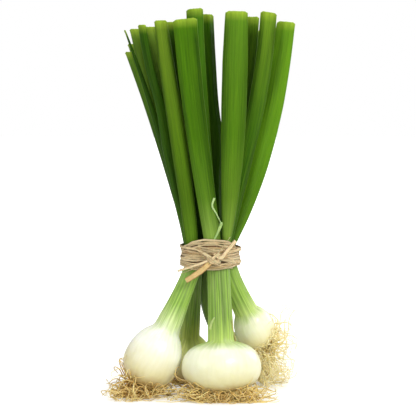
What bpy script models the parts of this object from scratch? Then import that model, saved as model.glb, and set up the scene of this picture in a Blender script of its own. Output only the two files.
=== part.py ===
"""A bunch of five spring onions tied with raffia, standing on its bulbs and roots.

Blender 4.5, metres, +Z up. Each onion is a bulb with its neck, a tuft of roots and a few hollow
leaves. The necks meet in the tie, so the bulbs splay out below it and the leaves fan out above it.
The origin is on the ground, under the middle of the bunch.
"""

import math

import bmesh
import bpy
import numpy as np
from mathutils import Vector

MM = 0.001
COLLECTION = "spring_onion_bunch"
GAP = 0.3  # clearance between neighbouring pieces, in millimetres, as all sizes below

# the tie: where the five necks are squeezed together
TIE_CENTRE = (1.3, 0.3)
TIE_LOW, TIE_HIGH = 81.0, 100.2
NECK_TOP = 89.5
LEAF_FOOT = NECK_TOP + 2.5
WRAP_COUNT = 3
WRAP_THICKNESS = 1.7
WRAP_GAP = 0.4

NECK_SIDES_RESOLUTION = 6  # a curve's bevel resolution: 16 sides
LEAF_SIDES = 12
LEAF_STATIONS = 9
LEAF_WALL = 0.9
ROOT_PLATE = 4.2  # radius of the disc that the roots grow from

# Each onion: where its root plate is, which way the bulb points, how long the straight start is,
# the bulb's radius, its height below and above the widest place and how full it is (2 is an
# ellipse), the neck's radius at the bulb and in the tie, how sharply the two join, the neck's
# place in the tie, and how far and which way it enters the tie.
ONIONS = {
    "front": dict(
        root=(8.6, -22.0, 4.6), axis=(0.0, 0.05, 1.0), straight=36.0, radius=25.6, below=14.8,
        above=15.0, full=2.25, neck=9.4, waist=7.4, blend=3.6, place=(6.3, -7.8),
        entry=(-0.04, 0.22, 0.97), reach=28.0,
    ),
    "left": dict(
        root=(-44.2, -14.5, 7.2), axis=(0.45, 0.06, 0.89), straight=34.0, radius=18.2, below=16.5,
        above=22.0, full=2.1, neck=12.4, waist=5.7, blend=3.4, place=(-7.0, -6.9),
        entry=(0.36, 0.08, 0.93), reach=26.0,
    ),
    "right": dict(
        root=(36.8, 17.0, 27.4), axis=(-0.42, -0.22, 0.88), straight=30.0, radius=13.3, below=12.6,
        above=15.5, full=2.1, neck=9.2, waist=5.7, blend=3.4, place=(11.4, 4.6),
        entry=(-0.14, -0.05, 0.98), reach=20.0,
    ),
    "back_left": dict(
        root=(-14.5, 26.5, 3.0), axis=(0.05, -0.12, 0.99), straight=30.0, radius=15.6, below=14.0,
        above=17.0, full=2.1, neck=8.0, waist=5.7, blend=3.4, place=(-8.6, 4.9),
        entry=(0.06, -0.20, 0.97), reach=30.0,
    ),
    "back_right": dict(
        root=(31.0, 35.5, 6.0), axis=(-0.70, -0.06, 0.70), straight=40.0, radius=15.0, below=14.6,
        above=17.0, full=2.1, neck=6.6, waist=5.7, blend=3.4, place=(1.5, 11.25),
        entry=(0.20, -0.30, 0.93), reach=34.0,
    ),
}

# Each leaf: its foot in the tie, its tip, its lean at the foot and at the tip as shares of the
# straight line's lean, its width at foot, middle and tip, its thickness likewise, how far its flat
# side is turned from facing the front, and how much its cut end slopes across its width.
LEAVES = {
    "front": [
        dict(foot=(4.0, -13.4), tip=(-14.5, -19.0, 241.4), lean=(1.12, 0.56), width=(10.4, 13.9, 15.2),
             thick=(3.2, 5.4, 4.6), turn=0, slope=0.10),
        dict(foot=(11.0, -10.8), tip=(18.0, -19.0, 246.8), lean=(2.39, 0.77), width=(4.2, 15.5, 14.2),
             thick=(3.0, 5.6, 4.6), turn=4, slope=-0.02),
        dict(foot=(2.1, -9.2), tip=(-8.6, -7.0, 248.5), lean=(0.63, 0.3), width=(6.5, 10.2, 10.8),
             thick=(2.6, 4.2, 4.2), turn=-4, slope=0.10),
        dict(foot=(6.4, -5.2), tip=(-1.0, 0.5, 245.6), lean=(0.5, 0.95), width=(4.4, 6.7, 7.0),
             thick=(2.6, 3.6, 3.4), turn=8, slope=-0.04),
    ],
    "left": [
        dict(foot=(-9.9, -9.7), tip=(-30.1, -13.5, 241.3), lean=(0.59, 0.92), width=(7.9, 10.9, 8.3),
             thick=(3.0, 4.8, 4.2), turn=-4, slope=0.02),
        dict(foot=(-10.8, -5.6), tip=(-42.2, -7.0, 238.7), lean=(1.02, 0.69), width=(5.9, 6.8, 5.3),
             thick=(2.6, 3.6, 3.4), turn=-8, slope=0.04),
        dict(foot=(-12.2, -1.9), tip=(-53.6, -0.5, 235.7), lean=(0.75, 1.33), width=(4.5, 4.6, 1.0),
             thick=(2.4, 2.6, 1.0), turn=-12, slope=0.0, pointed=True),
        dict(foot=(-5.2, -1.3), tip=(-26.4, 1.0, 240.5), lean=(1.03, 1.16), width=(5.5, 7.6, 7.7),
             thick=(2.6, 3.6, 3.6), turn=-4, slope=0.03),
    ],
    "right": [
        dict(foot=(12.2, -3.6), tip=(38.6, -9.0, 245.9), lean=(0.9, 0.28), width=(4.4, 10.6, 10.3),
             thick=(2.8, 4.4, 4.2), turn=6, slope=-0.16),
        dict(foot=(13.2, 0.8), tip=(50.3, 1.0, 240.5), lean=(1.75, 0.61), width=(5.2, 14.8, 11.9),
             thick=(2.8, 5.0, 4.8), turn=10, slope=-0.08),
        dict(foot=(8.4, 4.4), tip=(28.3, 9.5, 244.3), lean=(1.5, 0.3), width=(5.4, 7.9, 10.0),
             thick=(2.6, 4.0, 4.0), turn=2, slope=0.02),
        dict(foot=(10.6, 8.2), tip=(37.0, 21.0, 236.0), lean=(1.3, 0.8), width=(5.6, 9.8, 9.6),
             thick=(2.6, 4.2, 4.0), turn=24, slope=0.05),
    ],
    "back_left": [
        dict(foot=(-11.7, 1.9), tip=(-46.9, 6.0, 236.3), lean=(0.61, 0.94), width=(4.7, 6.9, 5.9),
             thick=(2.4, 3.4, 3.4), turn=-8, slope=0.0),
        dict(foot=(-2.2, 3.8), tip=(-36.3, 8.8, 237.7), lean=(1.04, 1.04), width=(5.5, 7.6, 7.8),
             thick=(2.6, 4.0, 3.8), turn=0, slope=0.02),
        dict(foot=(-9.8, 6.6), tip=(-50.2, 14.2, 221.5), lean=(0.84, 1.23), width=(5.4, 6.9, 6.4),
             thick=(2.6, 3.6, 3.4), turn=-16, slope=0.0),
        dict(foot=(-6.8, 10.9), tip=(-48.7, 20.0, 226.8), lean=(0.8, 1.07), width=(5.4, 7.4, 6.9),
             thick=(2.6, 3.6, 3.4), turn=-22, slope=0.0),
    ],
    "back_right": [
        dict(foot=(3.6, 7.4), tip=(-12.0, 20.0, 238.0), lean=(1.1, 0.8), width=(5.6, 10.2, 10.0),
             thick=(2.6, 4.4, 4.0), turn=-4, slope=0.04),
        dict(foot=(-0.6, 12.6), tip=(-30.0, 26.0, 232.0), lean=(1.0, 0.8), width=(5.8, 9.4, 9.0),
             thick=(2.6, 4.2, 3.8), turn=-20, slope=0.03),
        dict(foot=(7.0, 11.4), tip=(20.5, 27.5, 239.0), lean=(1.0, 0.8), width=(5.8, 9.2, 9.0),
             thick=(2.6, 4.2, 3.8), turn=12, slope=-0.03),
    ],
}

# Roots that lie on the ground: a flat lumpy mat around each standing bulb's root plate.
MATS = {
    "front": dict(centre=(6.5, -23.0), radius=(27.0, 22.0), height=6.2, lumps=(5, 0.8)),
    "left": dict(centre=(-44.5, -16.0), radius=(21.0, 20.0), height=7.6, lumps=(6, 2.1)),
    "back_left": dict(centre=(-17.0, 29.0), radius=(17.0, 16.0), height=5.4, lumps=(5, 0.3)),
    "back_right": dict(centre=(40.5, 30.0), radius=(17.8, 16.0), height=6.6, lumps=(6, 1.2)),
}
MAT_SIDES = 28
LUMP_SHARE = 0.12
# Shares of a mat's radius and height, from the ground up.
MAT_PROFILE = [(0.94, 0.0), (1.0, 0.18), (0.95, 0.52), (0.80, 0.82), (0.55, 1.0), (0.28, 1.04)]

# The right onion hangs above the ground, and its roots trail down beside it.
BEARD = dict(
    path=[(37.6, 17.9, 26.9), (42.6, 17.0, 23.6), (46.6, 15.0, 18.6), (48.6, 12.6, 12.4), (48.0, 10.4, 6.6)],
    radii=[4.0, 6.4, 7.6, 6.6, 3.4],
)

# The knot sits on the front of the tie, and its trimmed ends stick out.
KNOT = dict(centre=(3.0, -22.0, 88.0), half=(5.2, 2.5, 4.2))
TAILS = {
    "up": dict(path=[(8.0, -22.4, 90.8), (12.4, -22.2, 95.4), (17.6, -21.4, 101.6)], radii=[1.1, 1.0, 0.9]),
    "low": dict(path=[(-2.4, -22.4, 84.2), (-7.6, -22.2, 80.2), (-14.2, -20.4, 75.8)], radii=[1.3, 1.5, 1.6]),
    "side": dict(path=[(-3.4, -22.2, 87.6), (-10.4, -21.4, 85.0), (-19.6, -18.4, 81.8)], radii=[0.9, 0.8, 0.5]),
}
TAIL_RESOLUTION = 2

MATERIALS = {
    "bulb_skin": dict(color=(0.90, 0.89, 0.74), roughness=0.32),
    "leaf_green": dict(color=(0.10, 0.27, 0.02), roughness=0.45),
    "root_fibre": dict(color=(0.70, 0.52, 0.25), roughness=0.8),
    "raffia": dict(color=(0.68, 0.50, 0.27), roughness=0.75),
}


def clear_scene():
    for obj in list(bpy.data.objects):
        bpy.data.objects.remove(obj)


def make_material(name, color, roughness):
    material = bpy.data.materials.new(name)
    material.use_nodes = True
    shader = material.node_tree.nodes["Principled BSDF"]
    shader.inputs["Base Color"].default_value = (*color, 1.0)
    shader.inputs["Roughness"].default_value = roughness
    shader.inputs["Metallic"].default_value = 0.0
    return material


def new_collection(name):
    collection = bpy.data.collections.new(name)
    bpy.context.scene.collection.children.link(collection)
    return collection


def bezier(p0, p1, p2, p3, count):
    """Points on a cubic Bezier, as an array."""
    t = np.linspace(0.0, 1.0, count)[:, None]
    p0, p1, p2, p3 = (np.array(p, float) for p in (p0, p1, p2, p3))
    return (1 - t) ** 3 * p0 + 3 * (1 - t) ** 2 * t * p1 + 3 * (1 - t) * t**2 * p2 + t**3 * p3


def at_lengths(points, lengths):
    """Points at these distances along a fine polyline."""
    steps = np.linalg.norm(np.diff(points, axis=0), axis=1)
    along = np.concatenate([[0.0], np.cumsum(steps)])
    return np.stack([np.interp(lengths, along, points[:, k]) for k in range(3)], axis=1)


def smooth_values(values, shares):
    """A smooth curve through three values, at 0, one half and 1."""
    low, middle, high = values
    peak = 2 * middle - (low + high) / 2
    return (1 - shares) ** 2 * low + 2 * (1 - shares) * shares * peak + shares**2 * high


def tube(name, points, radii, resolution, material, collection):
    """A round solid along a path, with its own radius at each point. Sizes in millimetres."""
    curve = bpy.data.curves.new(name, "CURVE")
    curve.dimensions = "3D"
    curve.bevel_depth = MM
    curve.bevel_resolution = resolution
    curve.use_fill_caps = True
    spline = curve.splines.new("POLY")
    spline.points.add(len(points) - 1)
    for spot, point, radius in zip(spline.points, points, radii):
        spot.co = (*[MM * value for value in point], 1.0)
        spot.radius = radius
    curve.materials.append(material)
    obj = bpy.data.objects.new(name, curve)
    collection.objects.link(obj)
    return obj


def as_mesh(obj):
    """The object made a mesh, with a curve's loose caps welded on."""
    bpy.context.view_layer.update()
    graph = bpy.context.evaluated_depsgraph_get()
    mesh = bpy.data.meshes.new_from_object(obj.evaluated_get(graph))
    bm = bmesh.new()
    bm.from_mesh(mesh)
    bmesh.ops.remove_doubles(bm, verts=bm.verts, dist=1e-6)
    bmesh.ops.recalc_face_normals(bm, faces=bm.faces)
    bm.to_mesh(mesh)
    bm.free()
    name, collections, matrix = obj.name, list(obj.users_collection), obj.matrix_world.copy()
    bpy.data.objects.remove(obj)
    made = bpy.data.objects.new(name, mesh)
    made.matrix_world = matrix
    for collection in collections:
        collection.objects.link(made)
    return made


def loft(name, rings, material, collection, caps=True, closed=False):
    """A surface through rings of points that follow one another. Sizes in millimetres."""
    bm = bmesh.new()
    rows = [[bm.verts.new(Vector(point) * MM) for point in ring] for ring in rings]
    pairs = list(zip(rows, rows[1:]))
    if closed:
        pairs.append((rows[-1], rows[0]))
    for low, high in pairs:
        for k in range(len(low)):
            n = (k + 1) % len(low)
            bm.faces.new((low[k], low[n], high[n], high[k]))
    if caps:
        bm.faces.new(reversed(rows[0]))
        bm.faces.new(rows[-1])
    bmesh.ops.recalc_face_normals(bm, faces=bm.faces)
    mesh = bpy.data.meshes.new(name)
    bm.to_mesh(mesh)
    bm.free()
    mesh.materials.append(material)
    obj = bpy.data.objects.new(name, mesh)
    collection.objects.link(obj)
    return obj


def bulb_radius(onion, along):
    """The onion's radius at a distance from its root plate: a full bulb and a filleted neck."""
    wide, below, above, full = onion["radius"], onion["below"], onion["above"], onion["full"]
    if along < below:
        tuck = 1 - (ROOT_PLATE / wide) ** full
        return wide * (1 - ((below - along) / below) ** full * tuck) ** (1 / full)
    rise = min(1.0, (along - below) / above)
    shoulder = wide * max(0.0, 1 - rise**full) ** (1 / full)
    up = min(1.0, (along - below) / (NECK_TOP - below))
    neck = onion["waist"] + (onion["neck"] - onion["waist"]) * (1 - up) ** 2
    neck *= math.sqrt(rise)
    return (shoulder ** onion["blend"] + neck ** onion["blend"]) ** (1 / onion["blend"])


def onion_path(onion):
    """The fine centre line from the root plate to the middle of the tie."""
    root, top = Vector(onion["root"]), Vector((*onion["place"], NECK_TOP))
    start = root + Vector(onion["axis"]).normalized() * onion["straight"]
    end = top - Vector(onion["entry"]).normalized() * onion["reach"]
    return bezier(root, start, end, top, 400)


def make_bulb(name, onion, material, collection, grown=0.0):
    """A bulb and its neck. grown makes it larger all over, for cutting its own room in the roots."""
    path = onion_path(onion)
    length = float(np.linalg.norm(np.diff(path, axis=0), axis=1).sum())
    below, above = onion["below"], onion["above"]
    lower = [below * (1 - math.cos(a)) for a in np.linspace(0.0, math.pi / 2, 9)]
    upper = [below + above * math.sin(a) for a in np.linspace(0.0, math.pi / 2, 8)[1:]]
    neck = list(np.linspace(upper[-1], length, 8)[1:])
    stations = np.array(lower + upper + neck)
    points = at_lengths(path, stations)
    radii = [bulb_radius(onion, along) + grown for along in stations]
    if grown:
        points[0] -= grown * np.array(Vector(onion["axis"]).normalized())
    return tube(name, points, radii, NECK_SIDES_RESOLUTION, material, collection)


def leaf_rings(leaf):
    """The outer outlines of a leaf from its foot to its cut end, each level but for the last."""
    foot, tip = np.array((*leaf["foot"], LEAF_FOOT)), np.array(leaf["tip"], float)
    rise = tip - foot
    lean = np.array((rise[0], rise[1], 0.0))
    up = np.array((0.0, 0.0, rise[2]))
    path = bezier(foot, foot + (up + lean * leaf["lean"][0]) / 3, tip - (up + lean * leaf["lean"][1]) / 3,
                  tip, LEAF_STATIONS)
    shares = (path[:, 2] - foot[2]) / rise[2]
    widths, thicks = smooth_values(leaf["width"], shares), smooth_values(leaf["thick"], shares)
    turn = math.radians(leaf["turn"])
    across = np.array((math.cos(turn), math.sin(turn), 0.0))
    through = np.array((-math.sin(turn), math.cos(turn), 0.0))
    rings = []
    for centre, share, width, thick in zip(path, shares, widths, thicks):
        ring = []
        for k in range(LEAF_SIDES):
            angle = 2 * math.pi * k / LEAF_SIDES
            side, deep = width / 2 * math.cos(angle), thick / 2 * math.sin(angle)
            tilt = side * leaf["slope"] if share > 0.999 else 0.0
            ring.append(centre + across * side + through * deep + np.array((0, 0, tilt)))
        rings.append(ring)
    return rings


def make_leaf(name, leaf, material, collection):
    """A hollow leaf, open at its cut end and in the tie. A leaf with its own point is solid."""
    if leaf.get("pointed"):
        return loft(name, leaf_rings(leaf), material, collection)
    obj = loft(name, leaf_rings(leaf), material, collection, caps=False)
    wall = obj.modifiers.new("wall", "SOLIDIFY")
    wall.thickness = LEAF_WALL * MM
    wall.offset = -1.0
    wall.use_even_offset = True
    return obj


def make_mat(name, mat, material, collection):
    """A lumpy flat-bottomed mat of roots lying on the ground."""
    count, phase = mat["lumps"]
    rings = []
    for share, rise in MAT_PROFILE:
        ring = []
        for k in range(MAT_SIDES):
            angle = 2 * math.pi * k / MAT_SIDES
            lump = 1 + LUMP_SHARE * math.sin(count * angle + phase)
            lump += 0.4 * LUMP_SHARE * math.sin((2 * count + 1) * angle - phase)
            ring.append((
                mat["centre"][0] + mat["radius"][0] * share * lump * math.cos(angle),
                mat["centre"][1] + mat["radius"][1] * share * lump * math.sin(angle),
                mat["height"] * rise,
            ))
        rings.append(ring)
    return loft(name, rings, material, collection)


def cut_with(obj, cutter):
    cut = obj.modifiers.new("room_for_" + cutter.name, "BOOLEAN")
    cut.operation = "DIFFERENCE"
    cut.object = cutter


def hide(obj):
    obj.hide_render = True
    obj.display_type = "WIRE"


def world_mesh(objects):
    """Every vertex of these objects as evaluated, in millimetres, and the ends of every edge."""
    bpy.context.view_layer.update()
    graph = bpy.context.evaluated_depsgraph_get()
    points, edges = [], []
    for obj in objects:
        evaluated = obj.evaluated_get(graph)
        mesh = evaluated.to_mesh()
        spots = [obj.matrix_world @ vertex.co / MM for vertex in mesh.vertices]
        points += spots
        edges += [(spots[edge.vertices[0]], spots[edge.vertices[1]]) for edge in mesh.edges]
        evaluated.to_mesh_clear()
    return np.array(points), np.array(edges)


def clipped(edges, low, high):
    """The ends of what is left of the edges between two heights."""
    found = []
    for start, end in edges:
        rise = end[2] - start[2]
        if max(start[2], end[2]) < low or min(start[2], end[2]) > high:
            continue
        shares = [0.0, 1.0] if abs(rise) < 1e-6 else sorted(
            min(1.0, max(0.0, (level - start[2]) / rise)) for level in (low, high)
        )
        found += [start + (end - start) * share for share in shares]
    return np.array(found)


def make_wrap(name, low, high, edges, material, collection):
    """One turn of raffia pulled tight round the bundle: a flat band with rounded edges."""
    held = clipped(edges, low, high)[:, :2] - np.array(TIE_CENTRE)
    sides = 36
    rings = []
    for k in range(sides):
        angle = 2 * math.pi * k / sides
        out = np.array((math.cos(angle), math.sin(angle), 0.0))
        inner = float((held @ out[:2]).max()) + GAP
        middle = np.array((*TIE_CENTRE, (low + high) / 2)) + out * (inner + WRAP_THICKNESS / 2)
        half = (high - low) / 2
        edge = min(half, WRAP_THICKNESS / 2)
        ring = []
        for across, along in ((-1, -1), (1, -1), (1, 1), (-1, 1)):
            for turn in (-1, 1):
                # each corner is cut off, so a band has an eight-sided section
                x = across * (WRAP_THICKNESS / 2) * (1.0 if turn * across * along < 0 else 0.45)
                z = along * (half - (edge * 0.6 if turn * across * along < 0 else 0.0))
                ring.append(middle + out * x + np.array((0, 0, z)))
        rings.append(ring)
    return loft(name, rings, material, collection, caps=False, closed=True)


def make_knot(name, material, collection):
    bm = bmesh.new()
    bmesh.ops.create_uvsphere(bm, u_segments=12, v_segments=8, radius=MM)
    bmesh.ops.scale(bm, vec=Vector(KNOT["half"]), verts=bm.verts)
    bmesh.ops.translate(bm, vec=Vector(KNOT["centre"]) * MM, verts=bm.verts)
    mesh = bpy.data.meshes.new(name)
    bm.to_mesh(mesh)
    bm.free()
    mesh.materials.append(material)
    obj = bpy.data.objects.new(name, mesh)
    collection.objects.link(obj)
    return obj


def move_origin_under_middle(objects):
    """Shifts everything so that the origin is under the middle of the whole bunch's box."""
    points = world_mesh(objects)[0] * MM
    low, high = points.min(axis=0), points.max(axis=0)
    shift = Vector(((low[0] + high[0]) / 2, (low[1] + high[1]) / 2, low[2]))
    for obj in bpy.data.objects:
        obj.location -= shift
    return shift


def main():
    clear_scene()
    parts, helpers = new_collection(COLLECTION), new_collection("cutters")
    paint = {name: make_material(name, **look) for name, look in MATERIALS.items()}
    bundle = []
    for name, onion in ONIONS.items():
        bundle.append(make_bulb(name + "_bulb", onion, paint["bulb_skin"], parts))
    for name, leaves in LEAVES.items():
        for number, leaf in enumerate(leaves, 1):
            bundle.append(make_leaf(f"{name}_leaf_{number}", leaf, paint["leaf_green"], parts))
    made = list(bundle)

    cutters = {}
    for name, onion in ONIONS.items():
        cutter = as_mesh(make_bulb(name + "_room", onion, paint["bulb_skin"], helpers, grown=1.5 * GAP))
        hide(cutter)
        cutters[name] = cutter
    for name, mat in MATS.items():
        roots = make_mat(name + "_roots", mat, paint["root_fibre"], parts)
        cut_with(roots, cutters[name])
        made.append(roots)
    beard = as_mesh(tube("right_roots", BEARD["path"], BEARD["radii"], 4, paint["root_fibre"], parts))
    cut_with(beard, cutters["right"])
    made.append(beard)

    edges = world_mesh(bundle)[1]
    pitch = (TIE_HIGH - TIE_LOW + WRAP_GAP) / WRAP_COUNT
    for number in range(WRAP_COUNT):
        low = TIE_LOW + number * pitch
        wrap = make_wrap(f"raffia_wrap_{number + 1}", low, low + pitch - WRAP_GAP, edges, paint["raffia"], parts)
        made.append(wrap)
    made.append(make_knot("raffia_knot", paint["raffia"], parts))
    for name, tail in TAILS.items():
        made.append(tube("raffia_tail_" + name, tail["path"], tail["radii"], TAIL_RESOLUTION, paint["raffia"], parts))

    move_origin_under_middle(made)
    for obj in made:
        if obj.type == "MESH":
            obj.data.shade_smooth()
            obj.data.set_sharp_from_angle(angle=math.radians(40))


main()
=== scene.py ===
import math
import random

import bpy
import bmesh
import numpy as np
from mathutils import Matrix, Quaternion, Vector, noise
from mathutils.bvhtree import BVHTree


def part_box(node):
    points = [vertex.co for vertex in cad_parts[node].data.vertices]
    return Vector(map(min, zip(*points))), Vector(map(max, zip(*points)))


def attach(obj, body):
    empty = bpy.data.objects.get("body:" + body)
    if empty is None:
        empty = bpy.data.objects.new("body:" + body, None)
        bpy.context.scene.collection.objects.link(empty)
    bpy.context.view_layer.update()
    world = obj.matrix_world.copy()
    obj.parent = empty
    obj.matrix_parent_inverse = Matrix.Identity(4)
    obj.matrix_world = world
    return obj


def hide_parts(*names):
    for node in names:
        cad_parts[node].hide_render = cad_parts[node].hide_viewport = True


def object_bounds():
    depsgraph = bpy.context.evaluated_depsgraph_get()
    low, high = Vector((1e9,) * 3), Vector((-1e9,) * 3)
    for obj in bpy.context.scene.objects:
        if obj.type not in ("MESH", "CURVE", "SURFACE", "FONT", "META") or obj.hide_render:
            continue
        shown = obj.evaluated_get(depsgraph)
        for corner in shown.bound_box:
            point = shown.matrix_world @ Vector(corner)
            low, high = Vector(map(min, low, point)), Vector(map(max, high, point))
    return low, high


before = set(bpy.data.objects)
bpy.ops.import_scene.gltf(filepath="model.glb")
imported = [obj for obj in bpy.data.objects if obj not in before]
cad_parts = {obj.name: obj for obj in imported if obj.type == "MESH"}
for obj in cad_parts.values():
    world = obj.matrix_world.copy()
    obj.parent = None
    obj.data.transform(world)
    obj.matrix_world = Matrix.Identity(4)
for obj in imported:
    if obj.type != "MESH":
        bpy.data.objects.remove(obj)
cadLow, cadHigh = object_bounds()
cadCentre = (cadLow + cadHigh) / 2
onionNames = ("front", "left", "right", "back_left", "back_right")
mm = 0.001
print("frame loaded:", len(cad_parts), "nodes")


view = dict(distance=1.0, elevation=5.0, aside=4.3 * mm, share=0.4835, lens=133.1)


def makeCamera():
    camera = bpy.data.objects.new("camera", bpy.data.cameras.new("camera"))
    bpy.context.scene.collection.objects.link(camera)
    camera.data.sensor_width = 36
    camera.data.lens = view["lens"]
    camera.data.clip_start, camera.data.clip_end = 0.05, 20
    tilt = math.radians(view["elevation"])
    back = Vector((0, -math.cos(tilt), math.sin(tilt)))
    target = Vector((cadCentre.x + view["aside"], cadCentre.y, cadHigh.z * view["share"]))
    camera.location = target + back * view["distance"]
    camera.rotation_euler = (-back).to_track_quat("-Z", "Y").to_euler()
    bpy.context.scene.camera = camera


lamps = {
    "key": dict(place=(0.70, -1.05, 0.95), size=0.55, power=14.0, color=(1.0, 0.985, 0.95)),
    "fill": dict(place=(-1.2, -0.8, 0.6), size=0.9, power=4.0, color=(0.97, 0.99, 1.0)),
    "top": dict(place=(-0.1, 0.15, 1.5), size=1.0, power=9.0, color=(1.0, 1.0, 1.0)),
    "rim": dict(place=(1.0, 0.8, 0.5), size=0.7, power=4.0, color=(1.0, 1.0, 0.97)),
}
studio = dict(world=0.40, seen=1.0, floor=(0.78, 0.785, 0.78), glow=0.37, farGlow=1.1, bounce=0.35)


def makeStudio():
    scene = bpy.context.scene
    scene.view_settings.view_transform = "Standard"
    world = bpy.data.worlds.new("studio")
    world.use_nodes = True
    scene.world = world
    add = nodesOf(world.node_tree)
    direct = add("ShaderNodeLightPath").outputs["Is Camera Ray"]
    strength = mapped(add, direct, studio["world"], studio["seen"])
    fill(world.node_tree.nodes["Background"], {"Color": (1, 1, 1, 1), "Strength": strength})
    for name, lamp in lamps.items():
        light = bpy.data.lights.new(name, "AREA")
        light.shape = "DISK"
        light.size = lamp["size"]
        light.energy = lamp["power"]
        light.color = lamp["color"]
        holder = bpy.data.objects.new(name, light)
        scene.collection.objects.link(holder)
        holder.location = lamp["place"]
        aim = Vector((0, 0, 0.1)) - holder.location
        holder.rotation_euler = aim.to_track_quat("-Z", "Y").to_euler()


def smoothThrough(values, knots, where):
    # a cubic through uneven knots, one row of values at each
    values, knots, where = (np.asarray(v, float) for v in (values, knots, where))
    slopes = np.gradient(values, knots, axis=0)
    if values.ndim == 1:
        # no overshoot between the knots
        steps = np.abs(np.diff(values) / np.diff(knots))
        most = 3 * np.minimum(np.append(steps, steps[-1]), np.insert(steps, 0, steps[0]))
        slopes = np.clip(slopes, -most, most)
    spot = np.clip(np.searchsorted(knots, where, side="right") - 1, 0, len(knots) - 2)
    width = knots[spot + 1] - knots[spot]
    t = (where - knots[spot]) / width
    if values.ndim > 1:
        t, width = t[:, None], width[:, None]
    start = (1 + 2 * t) * (1 - t) ** 2 * values[spot] + t * (1 - t) ** 2 * width * slopes[spot]
    end = t * t * (3 - 2 * t) * values[spot + 1] + t * t * (t - 1) * width * slopes[spot + 1]
    return start + end


def lengthsAlong(points):
    steps = np.linalg.norm(np.diff(points, axis=0), axis=1)
    return np.concatenate([[0.0], np.cumsum(steps)])


def unit(rows):
    rows = np.asarray(rows, float)
    return rows / np.maximum(np.linalg.norm(rows, axis=-1, keepdims=True), 1e-12)


def framesAlong(path, side=(1.0, 0.0, 0.0)):
    # tangent, side and third direction at each point, carried along without twisting
    tangents = unit(np.gradient(path, axis=0))
    sides, current = [], np.array(side, float)
    for tangent in tangents:
        current = unit(current - tangent * (current @ tangent))
        sides.append(current)
    sides = np.array(sides)
    return tangents, sides, np.cross(tangents, sides)


def smoothStep(low, high, value):
    t = np.clip((np.asarray(value, float) - low) / (high - low), 0.0, 1.0)
    return t * t * (3 - 2 * t)


def noiseAt(x, y, z):
    return noise.noise((float(x), float(y), float(z)))


def noiseVector(point):
    # three noises, each read at a place of its own
    x, y, z = point
    return Vector([noiseAt(x + k * 17.3, y - k * 5.7, z + k * 9.1) for k in range(3)])


def randomVector(rng, tall=1.0):
    return Vector((rng.uniform(-1, 1), rng.uniform(-1, 1), rng.uniform(-tall, tall)))


def keepOn(mesh, name, values):
    values = np.asarray(values, np.float32)
    if values.ndim == 1:
        mesh.attributes.new(name, "FLOAT", "POINT").data.foreach_set("value", values)
    else:
        mesh.attributes.new(name, "FLOAT_VECTOR", "POINT").data.foreach_set("vector", values.ravel())


def loft(name, rings, around=True, low=None, high=None, joined=False, facts=None):
    # quads through rings of points. low and high are pole points that close an end. facts are
    # point attributes, one value or vector for each ring point
    rings = np.asarray(rings, float)
    rows, count = rings.shape[:2]
    points = [tuple(p) for p in rings.reshape(-1, 3)]
    faces = []
    for row in range(rows if joined else rows - 1):
        above = (row + 1) % rows
        for k in range(count if around else count - 1):
            n = (k + 1) % count
            faces.append((row * count + k, row * count + n, above * count + n, above * count + k))
    poles = []
    for pole, row in ((low, 0), (high, rows - 1)):
        if pole is None:
            continue
        points.append(tuple(pole))
        poles.append(row)
        for k in range(count):
            n = (k + 1) % count
            pair = (row * count + n, row * count + k) if row == 0 else (row * count + k, row * count + n)
            faces.append((*pair, len(points) - 1))
    mesh = bpy.data.meshes.new(name)
    mesh.from_pydata(points, [], faces)
    for fact, values in (facts or {}).items():
        values = np.asarray(values, float).reshape(rows * count, -1)
        grid = values.reshape(rows, count, -1)
        for row in poles:
            values = np.vstack([values, grid[row].mean(axis=0)])
        keepOn(mesh, fact, values[:, 0] if values.shape[1] == 1 else values)
    mesh.update()
    mesh.shade_smooth()
    return mesh


def faceOut(mesh):
    bm = bmesh.new()
    bm.from_mesh(mesh)
    bmesh.ops.recalc_face_normals(bm, faces=bm.faces)
    bm.to_mesh(mesh)
    bm.free()


def addPiece(name, mesh, material, slot, *nodes):
    obj = bpy.data.objects.new(name, mesh)
    bpy.context.scene.collection.objects.link(obj)
    mesh.materials.clear()
    mesh.materials.append(material)
    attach(obj, "root")
    if nodes:
        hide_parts(*nodes)
    return obj


def cadCopy(node):
    bm = bmesh.new()
    bm.from_mesh(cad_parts[node].data)
    bmesh.ops.remove_doubles(bm, verts=bm.verts, dist=1e-6)
    return bm


def tubeSections(node):
    # the centres and radii of a round solid's rings, from its lower end
    bm = cadCopy(node)
    bmesh.ops.dissolve_limit(bm, angle_limit=0.002, verts=bm.verts, edges=bm.edges)
    bm.verts.index_update()
    caps = sorted((f for f in bm.faces if len(f.verts) >= 7), key=lambda f: f.calc_center_median().z)
    ring = sorted(caps[0].verts, key=lambda v: v.index)
    seen, centres, radii = set(), [], []
    while ring:
        spots = np.array([v.co for v in ring])
        centre = spots.mean(axis=0)
        centres.append(centre)
        # the ring's short way across, which a bend in the path doesn't stretch
        radii.append(float(np.linalg.svd(spots - centre, compute_uv=False)[1] * math.sqrt(2 / len(ring))))
        seen.update(ring)
        ring = sorted({e.other_vert(v) for v in ring for e in v.link_edges} - seen, key=lambda v: v.index)
    bm.free()
    return np.array(centres).round(7), np.array(radii).round(7)


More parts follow.
